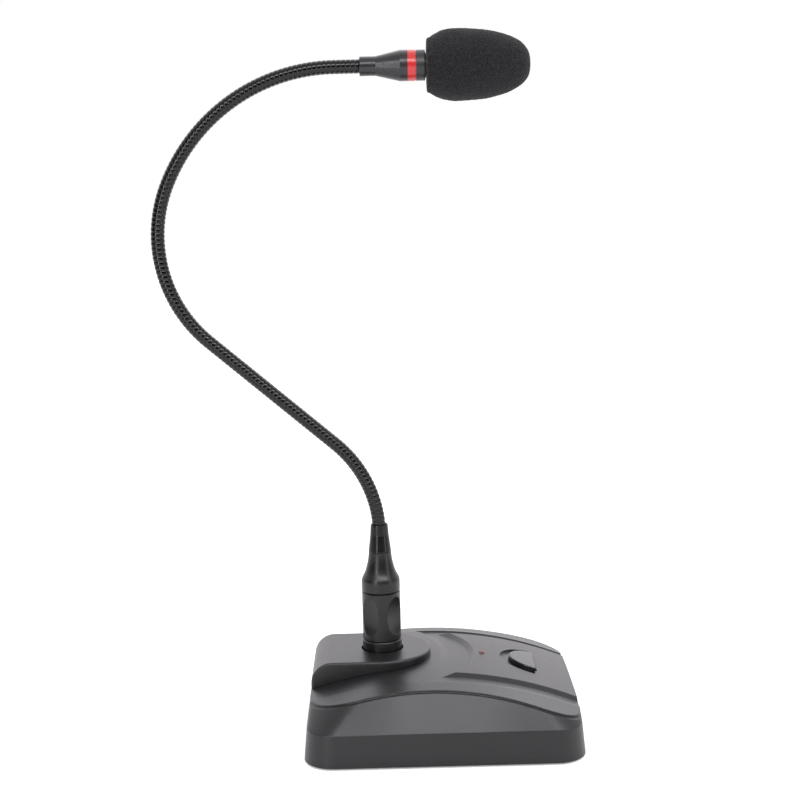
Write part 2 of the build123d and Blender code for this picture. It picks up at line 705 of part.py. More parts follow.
def cone_bushing():
    """The threaded bushing over the barrel: a concave bell with a plain band at its foot."""
    outer = Spline(
        (BARREL_RADIUS, BARREL_TOP + 5.2), (8.4, 79.6), (6.6, 85.0), (5.75, CONE_TOP),
        tangents=[(0, 1), (-0.05, 1)],
    )
    rest = Polyline(
        (5.75, CONE_TOP), (5.0, CONE_TOP), (5.0, 86.0), (6.7, 78.5), (6.7, BARREL_TOP - 6),
        (BARREL_BORE - 0.05, BARREL_TOP - 6), (BARREL_BORE - 0.05, BARREL_TOP + 0.3),
        (BARREL_RADIUS - 0.4, BARREL_TOP + 0.3),
        (BARREL_RADIUS, BARREL_TOP + 0.7), (BARREL_RADIUS, BARREL_TOP + 5.2),
    )
    return Pos(STEM_X, 0, 0) * (UPRIGHT * revolve(make_face(outer + rest), axis=Axis.Y))


def boot():
    """The tapered strain relief that the gooseneck comes out of."""
    profile = [
        (NECK_RADIUS + 0.05, CONE_TOP + 0.1), (5.7, CONE_TOP + 0.1), (5.75, CONE_TOP + 0.6),
        (4.75, BOOT_TOP - 5.5), (4.4, BOOT_TOP - 0.5), (4.2, BOOT_TOP), (NECK_RADIUS + 0.35, BOOT_TOP),
        (NECK_RADIUS + 0.05, NECK_START),
    ]
    return upright_turned(profile, STEM_X)


def neck_clamp():
    """The split chuck that grips the gooseneck's root inside the bushing."""
    profile = [
        (NECK_RADIUS + 0.02, 74.0), (6.5, 74.0), (6.5, 78.0), (4.9, 85.6), (4.9, CONE_TOP),
        (NECK_RADIUS + 0.02, CONE_TOP),
    ]
    chuck = upright_turned(profile, STEM_X)
    return chuck - block(STEM_X, STEM_X + 9, -0.5, 0.5, 73, CONE_TOP + 1)


def stem_wires():
    """Three insulated cores from the cable's end to the pins' cups."""
    wires = []
    for angle in CONTACT_ANGLES:
        x, y = contact_place(angle)
        inner = (STEM_X + (x - STEM_X) * 0.22, y * 0.22)
        route = FilletPolyline(
            (x, y, 54.6), (x, y, 62.0), (*inner, 72.0), (*inner, neck_root_z()), radius=6,
        )
        section = Plane(origin=(x, y, 54.6), z_dir=(0, 0, 1)) * Circle(0.5)
        wires.append(sweep(section, path=route))
    return wires


def neck_root_z():
    return NECK_START - NECK_ROOT


def neck_length():
    return sum(length for length, turn in NECK_ARCS)


def neck_point(s):
    """Point and heading (degrees from +X) of the gooseneck's centreline at arc length s."""
    x, z, heading = STEM_X, NECK_START, 90.0
    if s < 0:
        return x, z + s, heading
    for index, (length, turn) in enumerate(NECK_ARCS):
        last = index == len(NECK_ARCS) - 1
        step = s if last else min(s, length)
        bend = math.radians(turn) * step / length
        chord = step if bend == 0 else 2 * math.sin(bend / 2) * step / bend
        aim = math.radians(heading) + bend / 2
        x, z = x + chord * math.cos(aim), z + chord * math.sin(aim)
        heading += math.degrees(bend)
        s -= step
        if s <= 0:
            break
    return x, z, heading


def hinge_places():
    """Arc lengths of the gooseneck's hinges, evenly spaced between the boot and the head's sleeve."""
    spacing = (neck_length() - HEAD_START_BACK - NECK_FREE_START) / NECK_HINGES
    return [NECK_FREE_START + spacing * (index + 0.5) for index in range(NECK_HINGES)]


def neck_spans():
    """Start and end arc length of each gooseneck section, short of the hinges by the gap."""
    starts = [-NECK_ROOT] + [s + NECK_GAP for s in hinge_places()]
    ends = [s - NECK_GAP for s in hinge_places()] + [neck_length() + NECK_TAIL]
    return list(zip(starts, ends))


def neck_tube(start, end, radius, bore):
    """A tube along the centreline from start to end: each stretch of one curvature is one arc."""
    joints = [0.0]
    for length, turn in NECK_ARCS:
        joints.append(joints[-1] + length)
    stations = [start] + [s for s in joints[:-1] if start + 0.5 < s < end - 0.5] + [end]
    edges = []
    for low, high in zip(stations[:-1], stations[1:]):
        ends = [neck_point(s) for s in (low, (low + high) / 2, high)]
        points = [(x, 0, z) for x, z, heading in ends]
        if abs(ends[0][2] - ends[2][2]) < 0.01:
            edges.append(Line(points[0], points[2]))
        else:
            edges.append(ThreePointArc(*points))
    x, z, heading = neck_point(start)
    aim = math.radians(heading)
    across = Plane(origin=(x, 0, z), x_dir=(0, 1, 0), z_dir=(math.cos(aim), 0, math.sin(aim)))
    ring = Circle(radius)
    if bore:
        ring -= Circle(bore)
    return sweep(across * ring, path=Wire(edges))


def head_plane():
    """The head's own frame: local Y along its axis, from the sleeve's back end."""
    x, z, heading = neck_point(neck_length() - HEAD_START_BACK)
    aim = math.radians(heading)
    return Plane(
        origin=(x, 0, z), x_dir=(-math.sin(aim), 0, math.cos(aim)), z_dir=(0, 1, 0),
    )


def head_turned(points):
    plane = head_plane()
    profile = make_face(Polyline(*points, close=True))
    return plane * revolve(profile, axis=Axis.Y)


def head_local(u, radius, angle):
    """Place on the head: u along its axis, then outwards at an angle about it."""
    turn = math.radians(angle)
    return head_plane() * Pos(radius * math.cos(turn), u, radius * math.sin(turn))


def head_housing():
    """The machined housing: sleeve, cone and body up to the light ring."""
    fit = NECK_RADIUS + 0.6
    return head_turned([
        (fit, 0), (SLEEVE_RADIUS - 0.25, 0), (SLEEVE_RADIUS, 0.3), (SLEEVE_RADIUS, SLEEVE_LENGTH),
        (HEAD_RADIUS, HEAD_CONE_END), (HEAD_RADIUS, RING_START), (5.6, RING_START), (5.6, HEAD_CONE_END - 1),
        (fit, SLEEVE_LENGTH + 3),
    ])


def neck_ferrule():
    """The crimped ferrule that holds the gooseneck's end in the sleeve."""
    return head_turned([
        (NECK_RADIUS + 0.02, 0.6), (NECK_RADIUS + 0.55, 0.6), (NECK_RADIUS + 0.55, 8.0),
        (NECK_RADIUS + 0.02, 8.0),
    ])


def light_ring():
    return head_turned([
        (5.5, RING_START), (HEAD_RADIUS + 0.05, RING_START), (HEAD_RADIUS + 0.05, RING_END - 0.5),
        (HEAD_RADIUS - 0.25, RING_END - 0.5), (HEAD_RADIUS - 0.25, RING_END), (5.5, RING_END),
    ])


def ring_board():
    """The round board inside the ring, with its lamps facing out."""
    board = head_turned([(1.6, 24.6), (4.6, 24.6), (4.6, 25.6), (1.6, 25.6)])
    for index in range(6):
        board += head_local(26.0, 3.9, 60 * index) * Box(1.2, 0.9, 1.2)
    return board


def capsule_housing():
    """The black collar past the ring and the slotted tube that carries the capsule inside the foam."""
    tube = head_turned([
        (5.2, RING_START + 0.6), (5.45, RING_START + 0.6), (5.45, RING_END), (HEAD_RADIUS - 0.1, RING_END),
        (HEAD_RADIUS - 0.1, COLLAR_END - 0.3), (HEAD_RADIUS - 0.4, COLLAR_END), (CAPSULE_RADIUS, COLLAR_END),
        (CAPSULE_RADIUS, CAPSULE_END - 2), (5.2, CAPSULE_END - 2),
    ])
    for index in range(8):
        tube -= head_local(48.5, 5.6, 45 * index) * Rot(0, -45 * index, 0) * Box(3.0, 7.0, 1.6)
    return tube


def capsule_grille():
    """The perforated end cap."""
    cap = head_turned([
        (0, CAPSULE_END - 0.8), (5.0, CAPSULE_END - 0.8), (5.0, CAPSULE_END - 2),
        (CAPSULE_RADIUS, CAPSULE_END - 2),
        (CAPSULE_RADIUS, CAPSULE_END - 0.6), (CAPSULE_RADIUS - 0.6, CAPSULE_END), (0, CAPSULE_END),
    ])
    for ring, count in ((1.7, 6), (3.4, 12)):
        for index in range(count):
            place = head_local(CAPSULE_END - 0.5, ring, 360 * index / count)
            cap -= place * Rot(90, 0, 0) * Cylinder(0.55, 3)
    return cap


def mic_capsule():
    """The electret capsule: a can with a front hole and a rear contact board."""
    return head_turned([
        (0, 45.0), (4.4, 45.0), (4.85, 45.5), (4.85, 51.2), (4.4, 51.6), (1.2, 51.6), (1.2, 51.0), (0, 51.0),
    ])


def capsule_gasket():
    return head_turned([(4.87, 45.6), (5.18, 45.6), (5.18, 51.0), (4.87, 51.0)])


def head_cable():
    """The last of the microphone lead, from the gooseneck's end to the capsule."""
    start = HEAD_START_BACK + NECK_TAIL
    return head_turned([(0, start), (CABLE_RADIUS, start), (CABLE_RADIUS, 45.0), (0, 45.0)])


def foam_windscreen():
    """The foam ball: an egg with a flat back and a blind bore over the capsule tube."""
    front = FOAM_START + FOAM_LENGTH
    widest = FOAM_START + FOAM_WIDEST
    plane = head_plane()
    skin = Spline(
        (FOAM_BACK_RADIUS, FOAM_START), (FOAM_RADIUS, widest), (12.3, front - 5.3), (0, front),
        tangents=[(0.9, 0.75), (-1, 0)],
    )
    rest = Polyline(
        (0, front), (0, CAPSULE_END + 1.0), (FOAM_BORE, CAPSULE_END + 1.0), (FOAM_BORE, FOAM_START),
        (FOAM_BACK_RADIUS, FOAM_START),
    )
    return plane * revolve(make_face(skin + rest), axis=Axis.Y)


def build_parts():
    """Every sub-part by its name, about the base's centre."""
    outside, inside = base_outside(), base_inside()
    parts = {
        "base_cover": base_cover(outside, inside),
        "socket_tower": socket_tower(outside),
        "bottom_plate": bottom_plate(),
        "base_screws": base_screws(),
        "rubber_feet": rubber_feet(),
        "battery_door": battery_door(),
        "battery_box": battery_box(),
        "battery_cells": battery_cells(),
        "battery_contacts": battery_contacts(),
        "ballast_weight": ballast_weight(),
        "ballast_screws": ballast_screws(),
        "main_board": main_board(),
        "board_posts": board_posts(),
        "board_screws": board_screws(),
        "board_components": board_components(),
        "switch_body": switch_body(),
        "button_spring": button_spring(),
        "push_button": push_button(),
        "status_lamp": status_lamp(),
        "stem_socket_shell": stem_socket_shell(),
        "socket_insert": socket_insert(),
        "socket_contacts": socket_contacts(),
        "tower_screws": tower_screws(),
        "jack_body": jack_body(),
        "jack_bushing": jack_bushing(),
        "jack_nut": jack_nut(),
        "jack_contacts": jack_contacts(),
        "plug_shell": plug_shell(),
        "plug_insert": plug_insert(),
        "plug_pins": plug_pins(),
        "plug_barrel": barrel(),
        "cone_bushing": cone_bushing(),
        "boot": boot(),
        "neck_clamp": neck_clamp(),
        "stem_wires": stem_wires(),
        "neck_ferrule": neck_ferrule(),
        "head_housing": head_housing(),
        "light_ring": light_ring(),
        "ring_board": ring_board(),
        "capsule_housing": capsule_housing(),
        "capsule_grille": capsule_grille(),
        "mic_capsule": mic_capsule(),
        "capsule_gasket": capsule_gasket(),
        "head_cable": head_cable(),
        "foam_windscreen": foam_windscreen(),
    }
    for index, (start, end) in enumerate(neck_spans()):
        parts[f"gooseneck_section_{index}"] = neck_tube(start, end, NECK_RADIUS, NECK_BORE)
    return parts


def solids_of(part):
    """The separate solids of a part, or of a list of parts."""
    pieces = part if isinstance(part, (list, ShapeList)) else [part]
    return [solid for piece in pieces for solid in piece.solids()]


def main():
    os.makedirs("parts", exist_ok=True)
    nodes = {name: solids_of(part) for name, part in build_parts().items()}
    boxes = [solid.bounding_box() for solids in nodes.values() for solid in solids]
    shift = -(min(box.min.X for box in boxes) + max(box.max.X for box in boxes)) / 2
    for name, solids in nodes.items():
        centred = [solid.moved(Location((shift, 0, 0))) for solid in solids]
        export_step(Compound(centred), f"parts/{name}.step")
    print("shift", round(shift, 4))
    for index, s in enumerate(hinge_places()):
        x, z, heading = neck_point(s)
        print("hinge", index + 1, round(x + shift, 3), round(z, 3), "heading", round(heading, 3))


if __name__ == "__main__":
    main()
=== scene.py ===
import bpy
import json
import math
from mathutils import Matrix, Vector, noise


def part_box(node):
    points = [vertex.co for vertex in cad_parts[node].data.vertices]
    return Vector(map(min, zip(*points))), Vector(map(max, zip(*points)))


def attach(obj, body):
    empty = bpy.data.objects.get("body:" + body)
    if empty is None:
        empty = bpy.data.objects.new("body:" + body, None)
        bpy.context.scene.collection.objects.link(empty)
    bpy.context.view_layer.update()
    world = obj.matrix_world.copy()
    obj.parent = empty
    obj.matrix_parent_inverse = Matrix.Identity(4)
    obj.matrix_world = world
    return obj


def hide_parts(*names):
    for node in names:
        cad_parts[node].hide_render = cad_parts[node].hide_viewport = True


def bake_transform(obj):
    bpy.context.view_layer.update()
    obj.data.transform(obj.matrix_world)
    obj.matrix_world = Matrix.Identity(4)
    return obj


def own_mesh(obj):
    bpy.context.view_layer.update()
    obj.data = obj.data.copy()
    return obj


# Gooseneck podium microphone, in metres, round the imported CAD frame. The CAD nodes keep their shapes and
# get materials by slot. The spiral neck, the foam windscreen and the button's spring are new meshes.

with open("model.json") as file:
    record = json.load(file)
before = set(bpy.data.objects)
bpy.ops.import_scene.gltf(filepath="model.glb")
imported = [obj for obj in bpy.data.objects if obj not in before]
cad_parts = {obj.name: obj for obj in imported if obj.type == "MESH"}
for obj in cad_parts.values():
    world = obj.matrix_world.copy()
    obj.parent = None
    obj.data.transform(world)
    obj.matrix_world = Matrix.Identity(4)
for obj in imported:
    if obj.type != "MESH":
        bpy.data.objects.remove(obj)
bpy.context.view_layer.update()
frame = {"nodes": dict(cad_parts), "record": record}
boot_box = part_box("boot")
foam_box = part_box("foam_windscreen")
cells_low, cells_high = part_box("battery_cells")
base_low, base_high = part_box("base_cover")
base_middle = (base_low + base_high) / 2

MM = 0.001
WHITE = (1.0, 1.0, 1.0, 1.0)

# Camera at the photograph's viewing angle: place, yaw, pitch and roll in degrees, focal length as a share of
# the picture's width
CAMERA_PLACE = (13.13 * MM, -750.0 * MM, 285.78 * MM)
CAMERA_YAW = 0.3239
CAMERA_PITCH = 8.8867
CAMERA_ROLL = 1.4161
CAMERA_FOCAL = 1.8969
CAMERA_SENSOR = 36.0
CAMERA_RANGE = (0.01, 20.0)  # nearest and furthest that it sees, in metres

# Neck: the same centreline as the CAD, arcs of (length, turn to the left in degrees), in millimetres
NECK_ARCS = [(52.2, 49.0), (80.6, 0.0), (84.6, -72.1), (105.2, -66.4), (15.9, -0.9)]
NECK_IN_BOOT = 4.3           # the arcs start this far under the boot's rim
NECK_IN_HEAD = 2.6           # and end this far inside the head's sleeve
NECK_HINGES = 8
NECK_HINGE_MARGIN = 2.0      # points this far in from both ends of a stretch are worked out but not used
NECK_FOOT = 8.0              # the winding runs on this far below the boot's rim
NECK_TAIL = 5.0              # and this far into the head's sleeve
NECK_RADIUS = 3.42
NECK_TURN_PITCH = 2.32
NECK_GROOVE = 0.33
NECK_STEPS = 10              # rings in one turn of the winding
NECK_SIDES = 30
NECK_FLATNESS = 5.0          # 2 gives round ridges, more gives flatter ones

# Foam, along the head's axis from its flat back face, in millimetres
FOAM_LENGTH = 50.2
FOAM_RADIUS = 17.2
FOAM_BACK_RADIUS = 13.1
FOAM_WIDEST = 14.5
FOAM_LIP = 1.3               # rounding between the back face and the side
FOAM_BORE = 6.35
FOAM_BORE_DEPTH = 22.0
FOAM_SHOULDER_POWER = 2.2    # more gives a fuller side between the lip and the widest place
FOAM_TIP_POWER = 0.72        # less gives a blunter tip

# Foam mesh: rings in each part of the profile, and points in a ring
FOAM_BORE_RINGS = 14
FOAM_FACE_RINGS = 9
FOAM_LIP_RINGS = 7
FOAM_SIDE_RINGS = 50
FOAM_TIP_RINGS = 100
FOAM_SIDES = 260

# Foam skin: heights in millimetres of the open cells and of the slow swell, and features per metre
FOAM_GRAIN = 0.17
FOAM_GRAIN_SCALE = 900.0
FOAM_FINE_SHARE = 0.7
FOAM_FINE_SCALE = 2100.0
FOAM_SWELL = 0.25
FOAM_SWELL_SCALE = 120.0

# Return spring of the button, in millimetres
SPRING_WIRE = 0.18
SPRING_TURNS = 3
SPRING_STEPS = 24
SPRING_SIDES = 10

# Base cover, in millimetres: half width at the channel's outer edges, and top of the skirt
CHANNEL_EDGE = 40.2
SKIRT_TOP = 16.7

# Its flanks: the Z of their normal at most, and their rounding off, as how far from the base's middle it
# starts and stops, and by how much the surface seems to fall
FLANK_FACING = 0.85
FLANK_ENDS = (18.0, 64.0, 6.5)

# Smoother strip outwards from the channel's edges: its width, the slack inside the edge, how much smoother it
# is, and where along X, from the base's middle, it starts and is at its full strength
SMOOTH_WIDTH = 2.3
SMOOTH_SLACK = 0.3
SMOOTH_GAIN = 0.14
SMOOTH_FROM = -25.0
SMOOTH_FULL = 5.0

# Worn edges: wear goes from none to full as the cosine between an edge's rounded and true normals goes from
# the first value to the second. The rounding is found with this many rays.
EDGE_COSINES = (0.995, 0.86)
EDGE_RAYS = 8

# Moulded plastic: features per metre, brightness of its tones, how much smoother a rubbed edge is
MOULD_BLOTCHES = 90.0
MOULD_RUBBING = 400.0
MOULD_GLOSS = 700.0
MOULD_TONES = (0.95, 1.05, 1.35, 1.9)
MOULD_RUBBED_GAIN = 0.08

# Lacquer: features per metre, brightness of dust and of a worn edge, depth of the orange peel in millimetres
LACQUER_PEEL = 900.0
LACQUER_DUST = 2600.0
LACQUER_WEAR = 500.0
LACQUER_GLOSS = 160.0
LACQUER_TONES = (1.5, 4.0)
LACQUER_DEPTH = 0.006

# Bare metal: features per metre, brightness of the tarnish, scratch depth and edge radius in millimetres
METAL_SCRATCHES = 1400.0
METAL_TARNISH = 260.0
METAL_TONE = 0.72
METAL_DEPTH = 0.004
METAL_EDGE = 0.15

# Rubber: features per metre, brightness of the bloom, depth of the pimples in millimetres
RUBBER_PIMPLES = 2400.0
RUBBER_BLOOM = 180.0
RUBBER_TONE = 2.2
RUBBER_DEPTH = 0.03

# Foam's material: features per metre, brightness of painted pit shade, painted strand light and clumps,
# depths in millimetres
CELL_PITS = 1250.0
CELL_FINE = 2900.0
CELL_FINE_SHARE = 0.4
CELL_CLUMPS = 260.0
CELL_SHADE_AND_TONES = (0.2, 3.8, 1.6)
CELL_PIT_DEPTH = 0.3
CELL_FINE_DEPTH = 0.16

# Red plastic: features per metre, brightness of its clouds, glow colour, depths in millimetres
LENS_CLOUDS = 420.0
LENS_GLOSS = 700.0
LENS_RIPPLES = 1500.0
LENS_TONES = (0.93, 1.06)
LENS_GLOW = (0.95, 0.02, 0.008, 1.0)
LENS_SCATTER = 1.5
LENS_DEPTH = 0.006

# Circuit board: features per metre, brightness of the tracks, colour of the pads, track height in millimetres
BOARD_TRACKS = 260.0
BOARD_PADS = 380.0
BOARD_GLOSS = 600.0
BOARD_TONE = 1.6
BOARD_PAD_COLOUR = (0.5, 0.48, 0.4)
BOARD_DEPTH = 0.03

# Battery cells: where the pale end of their printed sleeve starts, as a share of their length, how sharply in
# millimetres, its colour, features per metre, and the depth of the sleeve's wrinkles in millimetres
SLEEVE_BAND_SHARE = 0.7
SLEEVE_BAND_BLUR = 0.4
SLEEVE_BAND_COLOUR = (0.55, 0.42, 0.12)
SLEEVE_GLOSS = 500.0
SLEEVE_WRINKLES = 300.0
SLEEVE_DEPTH = 0.02

# Casting: features per metre, brightness of the painted shade in hollows and painted light on heights, depth
# in millimetres
CAST_PITS = 700.0
CAST_SHADE_TONES = (0.7, 1.3)
CAST_DEPTH = 0.12

# Slots that are darker here than in the record, and by how much, to match the photograph in this light
DARKER_SLOTS = {
    "base_plastic": 0.11,
    "button_plastic": 0.2,
    "black_metal": 0.12,
    "collar_metal": 0.25,
    "boot_plastic": 0.05,
    "neck_metal": 0.03,
    "head_metal": 0.25,
    "foam": 0.18,
    "ring_red": 0.72,
    "lamp_red": 0.6,
}

# Floor: half its side in metres, its grey, and the glow that only the camera sees
FLOOR_REACH = 4.0
FLOOR_GREY = 0.86
FLOOR_GLOW = 0.3

# Tent: its strength on the camera's side and behind, what it gains upwards, and how far along Y and Z of the
# direction these changes start and stop
TENT_FRONT = 0.03
TENT_BACK = 1.38
TENT_HIGH = 0.8
TENT_DEPTH_WINDOW = (-0.25, 0.75)
TENT_HEIGHT_WINDOW = (0.1, 0.75)
TENT_TINT = (1.0, 0.975, 1.01)

# Softboxes, aimed at one place: place, width, height in metres, and watts
LIGHT_TARGET = (0.0, 0.0, 0.10)
SOFTBOXES = {
    "flank_softbox": ((0.3, -0.98, 1.05), 1.5, 0.3, 12.5),
    "back_softbox": ((0.75, 0.9, 0.85), 1.0, 0.6, 2.0),
    "left_strip": ((-0.55, -0.95, 0.4), 0.13, 1.1, 4.6),
    "right_strip": ((1.0, -0.5, 0.35), 0.15, 1.1, 2.3),
}


def add_camera():
    data = bpy.data.cameras.new("camera")
    camera = bpy.data.objects.new("camera", data)
    bpy.context.scene.collection.objects.link(camera)
    data.sensor_width = CAMERA_SENSOR
    data.lens = CAMERA_SENSOR * CAMERA_FOCAL
    data.clip_start, data.clip_end = CAMERA_RANGE
    yaw, pitch, roll = (math.radians(a) for a in (CAMERA_YAW, CAMERA_PITCH, CAMERA_ROLL))
    ahead = Vector((math.sin(yaw) * math.cos(pitch), math.cos(yaw) * math.cos(pitch), -math.sin(pitch)))
    right = Vector((math.cos(yaw), -math.sin(yaw), 0))
    up = right.cross(ahead)
    x = right * math.cos(roll) - up * math.sin(roll)
    y = right * math.sin(roll) + up * math.cos(roll)
    turn = Matrix((x, y, -ahead)).transposed().to_4x4()
    camera.matrix_world = Matrix.Translation(CAMERA_PLACE) @ turn
    bpy.context.scene.camera = camera


add_camera()


# ---------------------------------------------------------------- materials

class Nodes:
    """A material's node tree, with short calls for the nodes used here."""

    def __init__(self, name):
        self.material = bpy.data.materials.new(name)
        self.material.use_nodes = True
        self.tree = self.material.node_tree
        self.shader = self.tree.nodes["Principled BSDF"]

    def add(self, kind, **settings):
        node = self.tree.nodes.new("ShaderNode" + kind)
        for key, value in settings.items():
            setattr(node, key, value)
        return node

    def put(self, value, socket):
        """Links another node's output to the socket, or sets the socket to a number or a colour."""
        if isinstance(value, bpy.types.NodeSocket):
            self.tree.links.new(value, socket)
        else:
            socket.default_value = value

    def fill(self, node, **values):
        """Links or sets a node's inputs by name; _ stands for a space."""
        for key, value in values.items():
            self.put(value, node.inputs[key.replace("_", " ")])

    def coordinates(self):
        return self.add("TexCoord").outputs["Object"]

    def split(self, vector):
        """The X, Y and Z of a vector."""
        node = self.add("SeparateXYZ")
        self.put(vector, node.inputs[0])
        return node.outputs

    def noise(self, scale, detail=3.0, roughness=0.55):
        node = self.add("TexNoise")
        self.fill(node, Vector=self.coordinates(), Scale=scale, Detail=detail, Roughness=roughness)
        return node.outputs["Fac"]

    def cells(self, scale):
        node = self.add("TexVoronoi")
        self.fill(node, Vector=self.coordinates(), Scale=scale)
        return node.outputs["Distance"]

    def remap(self, value, window, to_low, to_high, **settings):
        """From to_low at the window's first value to to_high at its second, evenly or as settings say."""
        node = self.add("MapRange", **settings)
        self.fill(node, Value=value, From_Min=window[0], From_Max=window[1], To_Min=to_low, To_Max=to_high)
        return node.outputs["Result"]

    def maths(self, operation, *values):
        node = self.add("Math", operation=operation)
        for value, socket in zip(values, node.inputs):
            self.put(value, socket)
        return node.outputs[0]

    def product(self, first, *others):
        for other in others:
            first = self.maths("MULTIPLY", first, other)
        return first

    def mix(self, share, a, b):
        """Colour a at share 0, colour b at share 1."""
        node = self.add("Mix", data_type="RGBA")
        for name, value in (("Factor", share), ("A", a), ("B", b)):
            socket = next(s for s in node.inputs if s.name == name and s.enabled)
            self.put((*value, 1.0) if isinstance(value, tuple) else value, socket)
        return next(s for s in node.outputs if s.enabled)

    def stain(self, a, b, pattern, window, most=1.0):
        """Colour a, with colour b over it by up to most as the pattern goes through the window."""
        return self.mix(self.remap(pattern, window, 0.0, most), a, b)

    def uneven(self, roughness, pattern, window, smoother, rougher):
        """A roughness that the pattern lowers by up to smoother and raises by up to rougher."""
        return self.remap(pattern, window, roughness - smoother, roughness + rougher)

    def bump(self, height, depth, strength=1.0, normal=None):
        """A bump of that depth in millimetres."""
        node = self.add("Bump")
        self.fill(node, Height=height, Distance=depth * MM, Strength=strength)
        if normal is not None:
            self.put(normal, node.inputs["Normal"])
        return node.outputs["Normal"]

    def soft_edges(self, radius):
        """(normal with edges rounded over radius in millimetres, share that is 1 on an edge and 0 off it)."""
        bevel = self.add("Bevel", samples=EDGE_RAYS)
        self.fill(bevel, Radius=radius * MM)
        dot = self.add("VectorMath", operation="DOT_PRODUCT")
        self.put(bevel.outputs["Normal"], dot.inputs[0])
        self.put(self.add("NewGeometry").outputs["True Normal"], dot.inputs[1])
        return bevel.outputs["Normal"], self.remap(dot.outputs["Value"], EDGE_COSINES, 0.0, 1.0)

    def from_middle(self, axis):
        """Distance from the base cover's middle along X or Y."""
        middle = getattr(base_middle, axis.lower())
        return self.maths("ABSOLUTE", self.maths("SUBTRACT", self.split(self.coordinates())[axis], middle))

    def above_skirt(self):
        return self.maths("GREATER_THAN", self.split(self.coordinates())["Z"], SKIRT_TOP * MM)

    def rounded_ends(self, start, stop, drop, normal):
        """The normal, turned on the flanks as if they fell by drop towards both ends of the base."""
        window = (start * MM, stop * MM)
        fall = self.remap(self.from_middle("X"), window, 1.0, 0.0, interpolation_type="SMOOTHSTEP")
        outside = self.maths("GREATER_THAN", self.from_middle("Y"), CHANNEL_EDGE * MM)
        facing = self.split(self.add("NewGeometry").outputs["True Normal"])
        sloping = self.maths("LESS_THAN", facing["Z"], FLANK_FACING)
        return self.bump(fall, drop, self.product(outside, self.above_skirt(), sloping), normal)

    def smooth_strip(self):
        """Share that is 1 on the channel's outer edges and fades outwards and towards the back."""
        out = self.from_middle("Y")
        outwards = self.remap(out, (CHANNEL_EDGE * MM, (CHANNEL_EDGE + SMOOTH_WIDTH) * MM), 1.0, 0.0)
        off_channel = self.maths("GREATER_THAN", out, (CHANNEL_EDGE - SMOOTH_SLACK) * MM)
        window = (base_middle.x + SMOOTH_FROM * MM, base_middle.x + SMOOTH_FULL * MM)
        forward = self.remap(self.split(self.coordinates())["X"], window, 0.0, 1.0)
        return self.product(outwards, off_channel, forward, self.above_skirt())


def shade(colour, factor):
    return tuple(min(1.0, c * factor) for c in colour)


def shades(colour, factors):
    return [shade(colour, factor) for factor in factors]


def moulded(name, colour, roughness, grain=0.35, depth=0.02, edge=0.35, ends=None):
    """Moulded plastic: spark-eroded grain of that size and depth in millimetres, rubbed edges and blotches.

    ends, when given, is (from, to, drop): the flanks round off by that drop between those distances from
    the middle, so that their sheen dies away before the corners, and the channel's edges are smoother.
    """
    n = Nodes(name)
    dull, lively, speckle, rubbed = shades(colour, MOULD_TONES)
    edges_normal, edges = n.soft_edges(edge)
    fine = n.noise(1.0 / (grain * MM), detail=2.0)
    base = n.stain(dull, lively, n.noise(MOULD_BLOTCHES, detail=4.0), window=(0.35, 0.7))
    base = n.stain(base, speckle, fine, window=(0.4, 0.75), most=0.35)
    rubbing = n.remap(n.noise(MOULD_RUBBING), window=(0.4, 0.7), to_low=0.1, to_high=0.7)
    base = n.mix(n.product(edges, rubbing), base, rubbed)
    gloss = n.noise(MOULD_GLOSS, detail=5.0)
    rough = n.uneven(roughness, gloss, window=(0.3, 0.75), smoother=0.02, rougher=0.03)
    rough = n.maths("SUBTRACT", rough, n.product(edges, MOULD_RUBBED_GAIN))
    if ends:
        edges_normal = n.rounded_ends(*ends, edges_normal)
        rough = n.maths("SUBTRACT", rough, n.product(n.smooth_strip(), SMOOTH_GAIN))
    normal = n.bump(fine, depth, strength=0.6, normal=edges_normal)
    n.fill(n.shader, Base_Color=base, Roughness=rough, Normal=normal)
    return n.material


def lacquered(name, colour, roughness, specular=0.45, edge=0.25):
    """Lacquer on turned metal: slight orange peel, fine dust in the gloss, worn edges."""
    n = Nodes(name)
    dusty, worn = shades(colour, LACQUER_TONES)
    edges_normal, edges = n.soft_edges(edge)
    base = n.stain(colour, dusty, n.noise(LACQUER_DUST, roughness=0.7), window=(0.55, 0.8), most=0.4)
    wear = n.remap(n.noise(LACQUER_WEAR), window=(0.45, 0.7), to_low=0.0, to_high=0.6)
    base = n.mix(n.product(edges, wear), base, worn)
    gloss = n.noise(LACQUER_GLOSS, detail=5.0)
    rough = n.uneven(roughness, gloss, window=(0.3, 0.75), smoother=0.04, rougher=0.06)
    normal = n.bump(n.noise(LACQUER_PEEL, detail=2.0), LACQUER_DEPTH, strength=0.5, normal=edges_normal)
    n.fill(n.shader, Base_Color=base, Roughness=rough, Normal=normal, Specular_IOR_Level=specular)
    return n.material


def bare_metal(name, colour, roughness):
    """Plated or brushed metal with fine scratches and a slight tarnish."""
    n = Nodes(name)
    edges_normal, edges = n.soft_edges(METAL_EDGE)
    fine = n.noise(METAL_SCRATCHES, detail=4.0, roughness=0.7)
    tarnish = n.noise(METAL_TARNISH, detail=4.0)
    base = n.stain(colour, shade(colour, METAL_TONE), tarnish, window=(0.4, 0.75), most=0.6)
    rough = n.uneven(roughness, fine, window=(0.3, 0.75), smoother=0.06, rougher=0.1)
    normal = n.bump(fine, METAL_DEPTH, strength=0.5, normal=edges_normal)
    n.fill(n.shader, Base_Color=base, Roughness=rough, Normal=normal, Metallic=1.0)
    return n.material


